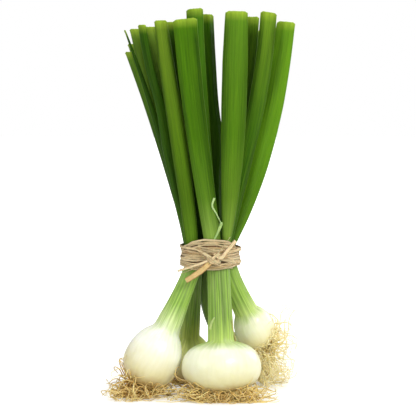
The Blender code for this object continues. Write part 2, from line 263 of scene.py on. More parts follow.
def levelSections(node, levels):
    # the middle, half width vector and half thickness vector of a node cut level at these heights
    bm = cadCopy(node)
    ends = np.array([[e.verts[0].co, e.verts[1].co] for e in bm.edges])
    bm.free()
    found = []
    for level in levels:
        low, high = ends[:, 0, 2] - level, ends[:, 1, 2] - level
        crossing = low * high < 0
        share = (low / (low - high + 1e-15))[crossing][:, None]
        cut = ends[crossing, 0] + (ends[crossing, 1] - ends[crossing, 0]) * share
        flat = cut[:, :2] - cut[:, :2].mean(axis=0)
        vectors = np.linalg.eigh(flat.T @ flat)[1]
        across = vectors[:, 1] * (1 if vectors[0, 1] > 0 else -1)
        through = np.array((-across[1], across[0]))
        wide, deep = cut[:, :2] @ across, cut[:, :2] @ through
        middle = across * (wide.max() + wide.min()) / 2 + through * (deep.max() + deep.min()) / 2
        found.append((*middle, level, *(across * np.ptp(wide) / 2), *(through * np.ptp(deep) / 2)))
    return np.array(found)


def fill(node, values):
    # values are numbers, colours or sockets to link, for the node's own inputs
    for key, value in values.items():
        if isinstance(value, bpy.types.NodeSocket):
            node.id_data.links.new(value, node.inputs[key])
        else:
            node.inputs[key].default_value = value


def nodesOf(tree):
    # a shorthand for adding nodes
    def add(kind, inputs=None, **settings):
        node = tree.nodes.new(kind)
        for key, value in settings.items():
            setattr(node, key, value)
        fill(node, inputs or {})
        return node
    return add


def times(add, first, second):
    return add("ShaderNodeMath", {0: first, 1: second}, operation="MULTIPLY").outputs[0]


def mapped(add, value, low, high, fromLow=0.0, fromHigh=1.0):
    # fromLow to fromHigh becomes low to high, and stays between them
    return add("ShaderNodeMapRange", {"Value": value, "From Min": fromLow, "From Max": fromHigh,
                                      "To Min": low, "To Max": high}).outputs["Result"]


def ramp(add, factor, stops, interpolation="LINEAR"):
    node = add("ShaderNodeValToRGB", {"Fac": factor})
    node.color_ramp.interpolation = interpolation
    while len(node.color_ramp.elements) < len(stops):
        node.color_ramp.elements.new(0.5)
    for element, (position, color) in zip(node.color_ramp.elements, stops):
        element.position = position
        element.color = (*color, 1.0) if len(color) == 3 else color
    return node.outputs["Color"]


def mix(add, factor, first, second, blend="MIX"):
    node = add("ShaderNodeMix", data_type="RGBA", blend_type=blend)
    colors = [s for s in node.inputs if s.type == "RGBA"]
    for socket, value in ((node.inputs["Factor"], factor), (colors[0], first), (colors[1], second)):
        if isinstance(value, bpy.types.NodeSocket):
            node.id_data.links.new(value, socket)
        else:
            socket.default_value = value if socket.type == "VALUE" else (*value[:3], 1.0)
    return [s for s in node.outputs if s.type == "RGBA"][0]


def linear(*srgb):
    # a colour as seen on screen, 0 to 255, made linear
    return tuple((c / 255 / 12.92) if c <= 10 else ((c / 255 + 0.055) / 1.055) ** 2.4 for c in srgb)


def openSockets(tree, inputs, outputs):
    # rows of (name, kind), with a first value where there is one
    for way, rows in (("INPUT", inputs), ("OUTPUT", outputs)):
        for name, kind, *value in rows:
            socket = tree.interface.new_socket(name, in_out=way, socket_type="NodeSocket" + kind)
            if value:
                socket.default_value = value[0]


def streakGroup():
    # long streaks along a surface. Place is a vector whose Z runs along the piece
    group = bpy.data.node_groups.new("longStreaks", "ShaderNodeTree")
    openSockets(group, [("Place", "Vector"), ("Count", "Float", 6.0), ("Stretch", "Float", 0.05),
                        ("Contrast", "Float", 2.0), ("Seed", "Float", 0.0)], [("Streaks", "Float")])
    add = nodesOf(group)
    given = add("NodeGroupInput").outputs
    parts = add("ShaderNodeSeparateXYZ", {"Vector": given["Place"]}).outputs
    along = times(add, parts["Z"], given["Stretch"])
    place = add("ShaderNodeCombineXYZ", {"X": parts["X"], "Y": parts["Y"], "Z": along}).outputs[0]
    grain = add("ShaderNodeTexNoise", {"Vector": place, "W": given["Seed"], "Scale": given["Count"],
                                       "Detail": 3.0, "Roughness": 0.6}, noise_dimensions="4D")
    centred = add("ShaderNodeMath", {0: grain.outputs["Fac"], 1: 0.5}, operation="SUBTRACT").outputs[0]
    scaled = add("ShaderNodeMath", {0: centred, 1: given["Contrast"], 2: 0.5}, operation="MULTIPLY_ADD",
                 use_clamp=True)
    add("NodeGroupOutput", {"Streaks": scaled.outputs[0]})
    return group


def mottleGroup():
    # soft blotches and small specks, for natural skins
    group = bpy.data.node_groups.new("skinMottle", "ShaderNodeTree")
    openSockets(group, [("Place", "Vector"), ("Size", "Float", 60.0), ("Speck size", "Float", 500.0),
                        ("Speck share", "Float", 0.1), ("Seed", "Float", 0.0)],
                [("Blotches", "Float"), ("Specks", "Float")])
    add = nodesOf(group)
    given = add("NodeGroupInput").outputs

    def grain(size, detail):
        return add("ShaderNodeTexNoise", {"Vector": given["Place"], "W": given["Seed"], "Scale": given[size],
                                          "Detail": detail}, noise_dimensions="4D").outputs["Fac"]

    soft, fine = grain("Size", 2.0), grain("Speck size", 1.0)
    edge = add("ShaderNodeMath", {0: 0.8, 1: given["Speck share"]}, operation="SUBTRACT").outputs[0]
    over = add("ShaderNodeMath", {0: fine, 1: edge}, operation="SUBTRACT").outputs[0]
    specks = add("ShaderNodeMath", {0: over, 1: 14.0}, operation="MULTIPLY", use_clamp=True)
    add("NodeGroupOutput", {"Blotches": soft, "Specks": specks.outputs[0]})
    return group


longStreaks, skinMottle = streakGroup(), mottleGroup()


def streaks(add, place, count, stretch, contrast, seed):
    values = {"Place": place, "Count": count, "Stretch": stretch, "Contrast": contrast, "Seed": seed}
    return add("ShaderNodeGroup", values, node_tree=longStreaks).outputs["Streaks"]


def mottle(add, place, size, speckSize, share, seed):
    values = {"Place": place, "Size": size, "Speck size": speckSize, "Speck share": share, "Seed": seed}
    node = add("ShaderNodeGroup", values, node_tree=skinMottle)
    return node.outputs["Blotches"], node.outputs["Specks"]


def newMaterial(name):
    material = bpy.data.materials.new(name)
    material.use_nodes = True
    tree = material.node_tree
    return material, nodesOf(tree), tree.nodes["Principled BSDF"]


def bumped(add, height, strength, distance):
    values = {"Height": height, "Strength": strength, "Distance": distance}
    return add("ShaderNodeBump", values).outputs["Normal"]


def attribute(add, name, output="Fac"):
    return add("ShaderNodeAttribute", attribute_name=name).outputs[output]


# rise runs from 0 at the root plate to 1 where the neck starts and 2 in the tie. Tones are
# root end, lower bulb, bulb, shoulder, neck start, neck and neck top. The lower bulb tone's darker
# tan is partly painted shade on the underside of the bulb
bulbLooks = {
    "front": dict(groove=0.8, hunch=2.2, ribs=16, ribDepth=0.45 * mm, turn=0.4, seed=3,
                  tones=[(184, 152, 84), (222, 214, 160), (243, 245, 216), (249, 252, 228),
                         (190, 220, 108), (146, 188, 66), (128, 174, 60)],
                  vein=(96, 148, 44), veinAmount=0.75, veinFrom=0.86),
    "left": dict(groove=0.6, hunch=1.4, ribs=15, ribDepth=0.5 * mm, turn=1.2, seed=8,
                 tones=[(184, 150, 84), (226, 217, 166), (251, 253, 240), (252, 254, 240),
                        (224, 242, 172), (166, 208, 84), (116, 162, 44)],
                 vein=(104, 160, 48), veinAmount=0.8, veinFrom=0.8),
    "right": dict(groove=0.6, ribs=14, ribDepth=0.4 * mm, turn=2.0, seed=14,
                  tones=[(206, 172, 96), (236, 226, 168), (248, 249, 222), (249, 252, 222),
                          (206, 230, 134), (158, 200, 74), (116, 160, 40)],
                  vein=(98, 150, 40), veinAmount=0.7, veinFrom=0.86),
    "back_left": dict(groove=0.6, ribs=14, ribDepth=0.35 * mm, turn=0.2, seed=21,
                      tones=[(190, 150, 80), (222, 204, 140), (246, 246, 192), (228, 236, 140),
                             (168, 184, 70), (96, 134, 28), (60, 104, 16)],
                      vein=(66, 112, 18), veinAmount=0.8, veinFrom=0.8),
    "back_right": dict(groove=0.6, ribs=14, ribDepth=0.35 * mm, turn=3.0, seed=30,
                       tones=[(200, 160, 88), (230, 216, 164), (242, 242, 206), (232, 238, 186),
                              (172, 196, 96), (104, 146, 40), (66, 110, 20)],
                       vein=(70, 118, 20), veinAmount=0.8, veinFrom=0.82),
}
bulbShape = dict(rows=210, around=168, lump=0.012, plateDip=1.4 * mm)
toneStops = (0.0, 0.13, 0.32, 0.43, 0.52, 0.66, 1.0)


def bulbMaterial(name, look):
    material, add, shader = newMaterial(name + "_skin")
    seed, vein, start = look["seed"], linear(*look["vein"]), look["veinFrom"] / 2
    place = attribute(add, "skinPlace", "Vector")
    half = times(add, attribute(add, "rise"), 0.5)
    wander = streaks(add, place, 2.2, 0.25, 1.0, seed)
    drift = add("ShaderNodeMath", {0: wander, 1: 0.5}, operation="SUBTRACT").outputs[0]
    shifted = add("ShaderNodeMath", {0: drift, 1: 0.16, 2: half}, operation="MULTIPLY_ADD").outputs[0]
    color = ramp(add, shifted, [(stop, linear(*tone)) for stop, tone in zip(toneStops, look["tones"])])
    fine = streaks(add, place, 7.0, 0.07, 3.2, seed + 1)
    broad = streaks(add, place, 2.8, 0.1, 3.0, seed + 2)
    amount = times(add, times(add, fine, broad), mapped(add, half, 0.0, 1.0, start - 0.08, start + 0.16))
    color = mix(add, times(add, amount, look["veinAmount"]), color, vein)
    # darker green lies in the grooves of the neck, partly its green veins and partly painted shade
    groove = times(add, attribute(add, "groove"), mapped(add, half, 0.0, 1.0, start, start + 0.22))
    color = mix(add, times(add, groove, look["groove"]), color, tuple(c * 0.55 for c in vein))
    # faint cream veins on the bulb itself
    pale = streaks(add, place, 9.0, 0.05, 2.0, seed + 3)
    color = mix(add, mapped(add, pale, 0.0, 0.26), color, linear(212, 208, 160))
    blotches, specks = mottle(add, place, 3.0, 60.0, 0.06, seed)
    # browner blotches near the root plate: partly dirt, partly painted shade on the bulb's underside
    dirtAndLowShade = times(add, mapped(add, half, 0.0, 0.5, 0.13, 0.0), blotches)
    color = mix(add, dirtAndLowShade, color, linear(176, 134, 70))
    color = mix(add, times(add, specks, 0.5), color, linear(168, 140, 84))
    height = add("ShaderNodeMath", {0: fine, 1: pale}, operation="ADD").outputs[0]
    fill(shader, {
        "Base Color": color, "Roughness": mapped(add, blotches, 0.24, 0.42),
        "Normal": bumped(add, height, 0.16, 0.0006),
        "Subsurface Weight": 0.35, "Subsurface Radius": (0.9, 1.0, 0.5), "Subsurface Scale": 0.004,
        "Coat Weight": mapped(add, half, 0.32, 0.02, 0.40, 0.56), "Coat Roughness": 0.18,
        "Specular IOR Level": mapped(add, half, 0.4, 0.12, 0.40, 0.56),
    })
    return material


def makeBulb(name, look):
    node = name + "_bulb"
    centres, radii = tubeSections(node)
    along = lengthsAlong(centres)
    wide = int(np.argmax(radii))
    neck = float(radii[-1])
    shoulder = float(np.interp(-1.5 * neck, -radii[wide:], along[wide:]))
    rows, around = bulbShape["rows"], bulbShape["around"]
    # rows are closer together on the bulb than on the neck
    where = np.concatenate([
        shoulder * np.linspace(0, 1, rows // 2, endpoint=False),
        shoulder + (along[-1] - shoulder) * np.linspace(0, 1, rows - rows // 2),
    ])
    # hunch raises the shoulder, in millimetres, and closes up the foot of the neck above it
    raised = smoothStep(along[wide], shoulder * 0.93, where)
    raised -= smoothStep(shoulder * 1.03, shoulder * 1.9, where)
    path = smoothThrough(centres, along, where + look.get("hunch", 0.0) * mm * raised)
    radius = smoothThrough(radii, along, where)
    rise = np.where(where < shoulder, where / shoulder, 1 + (where - shoulder) / (along[-1] - shoulder))
    tangents, sides, fronts = framesAlong(path)
    angles = np.linspace(0, 2 * math.pi, around, endpoint=False)
    ringPoints, places, grooves = [], [], []
    for row in range(rows):
        onNeck = float(smoothStep(0.72, 1.12, rise[row]))
        ring, spots = [], []
        for angle in angles:
            c, s = math.cos(angle), math.sin(angle)
            warp = angle + 0.22 * math.sin(3 * angle + look["turn"])
            warp += 0.1 * noiseAt(2 * c, 2 * s, rise[row] * 1.3)
            wave = math.sin(look["ribs"] * warp + look["turn"])
            fine = noiseAt(c * 7 + look["seed"], s * 7, rise[row] * 0.9)
            rib = (0.5 - 0.5 * abs(wave) ** 0.8) * 0.7 + (0.5 + fine) * 0.5
            grooves.append(min(1.0, max(0.0, 1.5 * (1 - abs(wave)) + 1.6 * fine - 0.15)))
            lump = bulbShape["lump"] * noiseAt(c * 1.3 + look["seed"], s * 1.3, rise[row] * 1.6)
            facet = 0.006 * noiseAt(c * 4, s * 4 + look["seed"], rise[row] * 0.7) * (1 - onNeck)
            r = radius[row] * (1 + lump + facet) - look["ribDepth"] * rib * (0.06 + 0.94 * onNeck)
            ring.append(path[row] + (sides[row] * c + fronts[row] * s) * r)
            spots.append((c, s, rise[row] * 6))
        ringPoints.append(ring)
        places.append(spots)
    facts = {"rise": np.repeat(rise[:, None], around, axis=1), "skinPlace": places, "groove": grooves}
    low = path[0] + tangents[0] * bulbShape["plateDip"]
    mesh = loft(node + "_visual", ringPoints, low=low, high=path[-1], facts=facts)
    faceOut(mesh)
    return addPiece(node + "_grown", mesh, bulbMaterial(name, look), "bulb_skin", node)


# Tones are foot, low, middle and top; the darkest ones, on leaves that stand behind others, are
# partly painted shade. fold pulls a ridge out of the front at this share of the width; it makes one
# side face the light. cut is how far the open end leans across the leaf, the five shade numbers are
# painted shade at five places across its front, dark on the sides that face away from the light and
# beside neighbouring leaves, and swing is how far it bends sideways, in millimetres, and at what
# share of its height. leafShape has them for a leaf that doesn't say
leafLooks = {
    "front_leaf_1": dict(tones=[(150, 182, 84), (112, 158, 44), (78, 132, 8), (84, 140, 10)],
                         fold=(-0.55, 0.25), cut=0.10, paintedShade=(0.5, 0.05, 0.05, 0.25, 0.85)),
    "front_leaf_2": dict(tones=[(148, 180, 76), (118, 160, 42), (90, 142, 18), (112, 164, 40)],
                         fold=(0.35, 0.14), cut=-0.02, paintedShade=(0.85, 0.3, 0.0, 0.1, 0.5)),
    "front_leaf_3": dict(tones=[(90, 130, 40), (60, 110, 12), (66, 122, 14), (84, 148, 30)],
                         fold=(0.3, 0.2), cut=0.10, paintedShade=(0.8, 0.65, 0.35, 0.1, 0.6)),
    "front_leaf_4": dict(tones=[(80, 120, 30), (50, 98, 10), (46, 96, 6), (52, 106, 10)],
                         fold=(0.25, 0.5), cut=-0.04, swing=(2.2, 0.46), paintedShade=(0.9, 0.7, 0.2, 0.6, 0.8)),
    "left_leaf_1": dict(tones=[(92, 132, 30), (84, 126, 16), (92, 136, 18), (132, 166, 44)],
                        fold=(0.3, 0.2), cut=0.02, paintedShade=(0.6, 0.1, 0.0, 0.2, 0.8)),
    "left_leaf_2": dict(tones=[(96, 140, 40), (54, 106, 8), (38, 90, 3), (48, 104, 6)],
                        fold=(-0.2, 0.3), cut=0.04, swing=(2.0, 0.64), paintedShade=(0.3, 0.5, 0.6, 0.4, 0.6)),
    "left_leaf_3": dict(tones=[(110, 150, 60), (52, 104, 10), (36, 88, 4), (30, 78, 6)],
                        fold=(0.0, 0.3), paintedShade=(0.3, 0.5, 0.3, 0.3, 0.5)),
    "left_leaf_4": dict(tones=[(60, 100, 20), (34, 80, 4), (26, 70, 2), (40, 92, 6)],
                        fold=(0.0, 0.3), cut=0.03, paintedShade=(0.6, 0.5, 0.5, 0.6, 0.8)),
    "right_leaf_1": dict(tones=[(84, 130, 30), (60, 116, 12), (60, 122, 12), (140, 184, 48)],
                         fold=(0.3, 0.25), cut=-0.16, paintedShade=(0.8, 0.4, 0.1, 0.3, 0.7)),
    "right_leaf_2": dict(tones=[(96, 140, 34), (100, 156, 26), (112, 172, 28), (122, 180, 36)],
                         fold=(-0.25, 0.55), cut=-0.08, paintedShade=(0.8, 0.62, 0.55, 0.0, 0.1)),
    "right_leaf_3": dict(tones=[(60, 100, 20), (26, 70, 4), (30, 78, 4), (118, 164, 34)],
                         fold=(0.0, 0.3), cut=0.02, paintedShade=(0.8, 0.55, 0.4, 0.45, 0.8)),
    "right_leaf_4": dict(tones=[(60, 100, 20), (34, 84, 6), (40, 94, 6), (70, 128, 16)],
                         fold=(0.0, 0.3), cut=0.05, paintedShade=(0.5, 0.4, 0.3, 0.4, 0.6)),
    "back_left_leaf_1": dict(tones=[(100, 140, 44), (96, 142, 30), (108, 156, 34), (138, 180, 56)],
                             fold=(0.0, 0.2)),
    "back_left_leaf_2": dict(tones=[(60, 100, 20), (38, 86, 6), (48, 100, 10), (150, 188, 66)],
                             fold=(0.0, 0.2), cut=0.02),
    "back_left_leaf_3": dict(tones=[(100, 140, 44), (60, 110, 14), (60, 114, 12), (126, 172, 48)],
                             fold=(0.0, 0.2)),
    "back_left_leaf_4": dict(tones=[(80, 120, 30), (50, 100, 10), (56, 108, 12), (120, 166, 44)],
                             fold=(0.0, 0.3)),
    "back_right_leaf_1": dict(tones=[(70, 110, 26), (40, 90, 8), (44, 98, 8), (64, 122, 16)],
                              fold=(0.2, 0.3), cut=0.04),
    "back_right_leaf_2": dict(tones=[(80, 124, 30), (50, 104, 10), (56, 112, 12), (80, 138, 22)],
                              fold=(-0.2, 0.3), cut=0.03),
    "back_right_leaf_3": dict(tones=[(80, 124, 30), (48, 100, 10), (52, 108, 10), (74, 132, 18)],
                              fold=(0.2, 0.3), cut=-0.03),
}
leafShape = dict(rows=84, around=56, wall=0.8 * mm, hollow=16 * mm, veins=26, veinDepth=0.12 * mm,
                 ridgeWidth=0.35, backFlat=0.86, swingLength=0.13, depth=0.62, footDepth=0.9,
                 cut=0.0, paintedShade=(0.6, 0.35, 0.2, 0.35, 0.6), swing=(0.0, 0.5))


def leafMaterial(name, look, seed):
    material, add, shader = newMaterial(name + "_green")
    place = attribute(add, "leafPlace", "Vector")
    depths = (leafShape["footDepth"],) + (leafShape["depth"],) * 3
    tones = [tuple(c * depth for c in linear(*tone)) for tone, depth in zip(look["tones"], depths)]
    stops = [*zip((0.07, 0.24, 0.5, 0.96), tones), (1.0, linear(166, 192, 60))]
    color = ramp(add, attribute(add, "along"), stops)
    # painted shade: the green deepens towards a dark green as far as the shade attribute says
    color = mix(add, times(add, attribute(add, "paintedShade"), 0.92), color, linear(8, 44, 0))
    fine = streaks(add, place, 14.0, 0.02, 3.2, seed)
    broad = streaks(add, place, 2.6, 0.06, 2.4, seed + 7)
    light = mix(add, 0.5, tones[3], linear(140, 190, 16))
    color = mix(add, times(add, fine, 0.3), color, light)
    color = mix(add, times(add, broad, 0.42), color, tuple(c * 0.45 for c in tones[2]))
    # a thin paler line where the leaf turns over at its edges
    color = mix(add, mapped(add, attribute(add, "side"), 0.0, 0.4, 0.965, 1.0), color, linear(130, 176, 30))
    blotches, specks = mottle(add, place, 1.6, 26.0, 0.035, seed)
    color = mix(add, times(add, specks, 0.5), color, linear(176, 208, 130))
    # the cut rim and the pale pith inside
    color = mix(add, attribute(add, "rim"), color, linear(196, 216, 100))
    fill(shader, {
        "Base Color": color, "Roughness": mapped(add, blotches, 0.28, 0.5),
        "Normal": bumped(add, fine, 0.3, 0.0005), "Specular IOR Level": 0.07,
        "Subsurface Weight": 0.12, "Subsurface Radius": (0.4, 1.0, 0.1), "Subsurface Scale": 0.002,
    })
    return material


def makeLeaf(node, look, seed):
    look = {**leafShape, **look}
    low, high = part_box(node)
    pointed = node == "left_leaf_3"  # the one leaf that wasn't cut
    levels = np.linspace(low.z + 0.6 * mm, high.z - 2.5 * mm, 15)
    sections = levelSections(node, levels)
    rows, around = leafShape["rows"], leafShape["around"]
    top = (low.z + high.z) / 2 + (high.z - low.z) / 2 - 0.4 * mm
    heights = np.linspace(low.z + 0.3 * mm, top, rows)
    fine = smoothThrough(sections, sections[:, 2], heights)
    centres, wides, deeps = fine[:, :3], fine[:, 3:5], fine[:, 5:7]
    centres[:, 2] = heights
    swing, swingAt = look["swing"]
    fromSwing = (np.linspace(0, 1, rows) - swingAt) / leafShape["swingLength"]
    centres[:, 0] += swing * mm * np.exp(-fromSwing ** 2)
    foldAt, foldDepth = look["fold"]
    rng = random.Random(seed)
    phase = rng.uniform(0, 6)
    rings, facts = [], {}

    def ringAt(row, inset, drop, rim):
        share = row / (rows - 1)
        half = float(np.linalg.norm(wides[row]))
        deep = float(np.linalg.norm(deeps[row]))
        across, through = unit(wides[row]), unit(deeps[row])
        if through[1] < 0:
            through = -through
        ring = []
        for k in range(around):
            angle = 2 * math.pi * k / around
            c, s = math.cos(angle), math.sin(angle)
            x, y = half * c, deep * s
            # the front bulges to a soft ridge, the back is flatter
            if s < 0:
                ridge = math.exp(-((c - foldAt) / leafShape["ridgeWidth"]) ** 2)
                y *= 1 - foldDepth * 0.5 + foldDepth * ridge
            else:
                y *= leafShape["backFlat"]
            wander = 0.6 * noiseAt(c * 2, s * 2 + seed, share * 2)
            wave = math.sin(leafShape["veins"] * angle + phase + wander)
            dent = 0.05 * noiseAt(c * 1.2 + seed, s * 1.2, share * 5) + 0.03 * noiseAt(share * 11, seed, c)
            groove = leafShape["veinDepth"] * (0.5 + 0.5 * wave) / max(deep, 0.5 * mm) * abs(s)
            scale = 1 - dent - 0.02 - groove
            x, y = x * (1 - abs(dent) * 0.5), y * scale
            if inset:
                x *= max(0.05, 1 - inset / half)
                y *= max(0.05, 1 - inset / max(deep, 0.6 * mm))
            tilt = look["cut"] * x * float(smoothStep(0.93, 1.0, share))
            ragged = 0.25 * mm * noiseAt(c * 5, s * 5, seed) * float(smoothStep(0.99, 1.0, share))
            ragged -= 0.9 * mm * float(smoothStep(0.72, 1.0, abs(c)) * smoothStep(0.985, 1.0, share))
            ring.append((centres[row][0] + across[0] * x + through[0] * y,
                         centres[row][1] + across[1] * x + through[1] * y,
                         centres[row][2] + tilt + ragged - drop))
            # painted shade: set across the front from the five numbers, a fixed amount on the back, deeper in
            # the vein grooves and lighter near the cut top
            paintedShade = float(np.interp(c, (-1, -0.5, 0, 0.5, 1), look["paintedShade"])) if s < 0.3 else 0.6
            paintedShade *= 0.95 + 0.9 * noiseAt(c * 1.5 + seed, share * 3.5, 0.5)
            paintedShade = min(1.0, max(0.0, paintedShade * 1.45 + 0.24 * (0.5 + 0.5 * wave) - 0.1))
            paintedShade *= 1 - float(smoothStep(0.9, 1.0, share)) * 0.7
            place = (c * 1.2, s * 1.2, share * 20)
            here = dict(along=share, side=abs(c), leafPlace=place, rim=rim, paintedShade=paintedShade)
            for fact, value in here.items():
                facts.setdefault(fact, []).append(value)
        rings.append(ring)

    for row in range(rows):
        ringAt(row, 0.0, 0.0, 0.0)
    if not pointed:
        # over the cut rim and down the inside
        wall = leafShape["wall"]
        ringAt(rows - 1, wall * 0.15, -0.12 * mm, 0.8)
        ringAt(rows - 1, wall * 0.85, -0.10 * mm, 1.0)
        ringAt(rows - 1, wall, 0.15 * mm, 0.8)
        inside = int(rows * leafShape["hollow"] / (high.z - low.z))
        for step in (1, 2, inside // 2, inside):
            ringAt(rows - 1 - step, wall, 0.0, 0.55 if step < inside else 0.2)
    ends = [np.mean(rings[end], axis=0) for end in (0, -1)]
    mesh = loft(node + "_visual", rings, low=ends[0], high=ends[1], facts=facts)
    faceOut(mesh)
    return addPiece(node + "_grown", mesh, leafMaterial(node, look, seed), "leaf_green", node)


# count is how many roots, length their reach in millimetres, spread how far out they set off, pile
# how high they heap, stray the share that arches up and away, loop how tightly they coil, forward
# how much they lean to the front and nearest how far to the front they may lie
rootLooks = {
    "front": dict(pile=5.6 * mm, forward=-0.09, count=300, length=(26, 54), spread=1.0,
                  stray=0.13, curl=0.5, loop=0.42, nearest=-37.5 * mm, thickness=0.44 * mm, seed=11,
                  tones=[(126, 74, 16), (240, 194, 94), (255, 236, 162)]),
    "left": dict(pile=4.2 * mm, forward=-0.06, count=230, length=(18, 40), spread=0.95,
                 stray=0.16, curl=0.55, loop=0.36, nearest=-33.5 * mm, thickness=0.44 * mm, seed=12,
                 tones=[(126, 74, 16), (240, 194, 94), (255, 236, 164)]),
    "right": dict(pile=12.0 * mm, forward=0.0, count=190, length=(24, 52), spread=1.1,
                  stray=0.5, curl=0.5, loop=0.6, nearest=5 * mm, thickness=0.34 * mm, seed=13,
                  tones=[(232, 202, 122), (252, 240, 170), (255, 250, 212)]),
    "back_right": dict(pile=7.0 * mm, forward=0.0, count=150, length=(20, 42), spread=0.9,
                       stray=0.35, curl=0.55, loop=0.5, nearest=0.0, thickness=0.36 * mm, seed=14,
                       tones=[(222, 184, 102), (248, 230, 152), (254, 245, 200)]),
    "back_left": dict(pile=5.0 * mm, forward=0.0, count=80, length=(16, 28), spread=0.9,
                      stray=0.08, curl=0.5, loop=0.4, nearest=0.0, thickness=0.42 * mm, seed=15,
                      tones=[(160, 114, 52), (206, 164, 92), (232, 206, 142)]),
}
# a root takes a new bend every few steps, sinks back to the pile or lifts off it, and turns home
# past a share of the tuft's reach. A stray arches instead and goes further. past is how far beyond
# the solid parts' box a tip may lie
rootWay = dict(step=1.6 * mm, bendEvery=5, sink=-0.30, lift=0.10, archUp=0.24, archDown=-0.22, home=0.98,
               strayHome=1.3, homePull=1.2, ground=1.5 * mm, edge=1 * mm, edgeFrom=0.86,
               past=Vector((2.2 * mm, 2.0 * mm, 0)))


def rootMaterial(name, look):
    material, add, shader = newMaterial(name + "_root_fibre")
    dark, middle, light = (linear(*tone) for tone in look["tones"])
    # roots are darkest where they leave the bulb, which is painted shade under it, and paler towards the tips
    color = ramp(add, attribute(add, "along"), [(0.0, dark), (0.35, middle), (1.0, light)])
    color = mix(add, times(add, attribute(add, "tint"), 0.72), color, dark)
    where = add("ShaderNodeTexCoord").outputs["Object"]
    blotches, specks = mottle(add, where, 260.0, 900.0, 0.12, look["seed"])
    color = mix(add, times(add, blotches, 0.5), color, light)
    color = mix(add, times(add, specks, 0.6), color, dark)
    fill(shader, {
        "Base Color": color, "Roughness": mapped(add, blotches, 0.5, 0.8),
        "Normal": bumped(add, blotches, 0.3, 0.0003),
        "Subsurface Weight": 0.25, "Subsurface Radius": (1.0, 0.8, 0.4), "Subsurface Scale": 0.001,
    })
    return material


def strandTree():
    # a tube along each spline: resampled, kinked by noise, tapered, with its own tint
    tree = bpy.data.node_groups.new("strandTubes", "GeometryNodeTree")
    inputs = [("Geometry", "Geometry"), ("Spacing", "Float", 1.2 * mm), ("Thickness", "Float", 0.4 * mm),
              ("Tip share", "Float", 0.45), ("Kink", "Float", 0.5 * mm), ("Kink size", "Float", 260.0),
              ("Sides", "Int", 6), ("Seed", "Int", 1), ("Material", "Material")]
    openSockets(tree, inputs, [("Geometry", "Geometry")])
    add = nodesOf(tree)
    given = add("NodeGroupInput").outputs
    fine = add("GeometryNodeResampleCurve", {"Curve": given["Geometry"], "Length": given["Spacing"]},
               mode="LENGTH")
    share = add("GeometryNodeSplineParameter").outputs["Factor"]
    grain = add("ShaderNodeTexNoise", {"Vector": add("GeometryNodeInputPosition").outputs[0],
                                       "Scale": given["Kink size"], "Detail": 2.0})
    centred = add("ShaderNodeVectorMath", {0: grain.outputs["Color"], 1: (0.5, 0.5, 0.5)},
                  operation="SUBTRACT")
    size = times(add, times(add, given["Kink"], share), 2.0)
    offset = add("ShaderNodeVectorMath", {0: centred.outputs[0], "Scale": size}, operation="SCALE")
    kinked = add("GeometryNodeSetPosition", {"Geometry": fine.outputs[0], "Offset": offset.outputs[0]})
    random01 = add("FunctionNodeRandomValue", {"Seed": given["Seed"]}, data_type="FLOAT")
    own = add("GeometryNodeFieldOnDomain", {"Value": random01.outputs[1]}, domain="CURVE", data_type="FLOAT")
    own = own.outputs[0]
    radius = times(add, mapped(add, share, 1.0, given["Tip share"], 0.25, 1.0), given["Thickness"])
    radius = times(add, radius, mapped(add, own, 0.7, 1.15))
    kept = kinked.outputs[0]
    for name, value in (("along", share), ("tint", own)):
        kept = add("GeometryNodeStoreNamedAttribute", {"Geometry": kept, "Name": name, "Value": value},
                   data_type="FLOAT", domain="POINT").outputs[0]
    ring = add("GeometryNodeCurvePrimitiveCircle", {"Resolution": given["Sides"], "Radius": 1.0})
    tube = add("GeometryNodeCurveToMesh", {"Curve": kept, "Profile Curve": ring.outputs["Curve"],
                                           "Scale": radius, "Fill Caps": True})
    smooth = add("GeometryNodeSetShadeSmooth", {"Geometry": tube.outputs[0]})
    real = add("GeometryNodeRealizeInstances", {"Geometry": smooth.outputs[0]})
    painted = add("GeometryNodeSetMaterial", {"Geometry": real.outputs[0], "Material": given["Material"]})
    add("NodeGroupOutput", {"Geometry": painted.outputs[0]})
    return tree


strandTubes = strandTree()


def strandMesh(name, paths, material, **inputs):
    # python's paths through the strand tree, as a plain mesh
    curve = bpy.data.curves.new(name + "_paths", "CURVE")
    curve.dimensions = "3D"
    for path in paths:
        spline = curve.splines.new("POLY")
        spline.points.add(len(path) - 1)
        spline.points.foreach_set("co", np.hstack([path, np.ones((len(path), 1))]).ravel())
    holder = bpy.data.objects.new(name + "_paths", curve)
    bpy.context.scene.collection.objects.link(holder)
    modifier = holder.modifiers.new("strands", "NODES")
    modifier.node_group = strandTubes
    sockets = {s.name: s.identifier for s in strandTubes.interface.items_tree if s.in_out == "INPUT"}
    for key, value in {**inputs, "Material": material}.items():
        modifier[sockets[key]] = value
    graph = bpy.context.evaluated_depsgraph_get()
    mesh = bpy.data.meshes.new_from_object(holder.evaluated_get(graph))
    mesh.name = name
    bpy.data.objects.remove(holder)
    bpy.data.curves.remove(curve)
    return mesh


def solidTrees(names):
    trees = []
    for name in names:
        bm = cadCopy(name)
        bmesh.ops.triangulate(bm, faces=bm.faces)
        trees.append(BVHTree.FromBMesh(bm))
        bm.free()
    return trees


def pushOut(point, trees, room):
    # moves a point out of the bulbs and up off the ground
    for tree in trees:
        spot, normal, _, distance = tree.find_nearest(point)
        inside = (point - spot).dot(normal) < 0
        if inside or distance < room:
            point = spot + normal * room
    if point.z < room:
        point.z = room
    return point


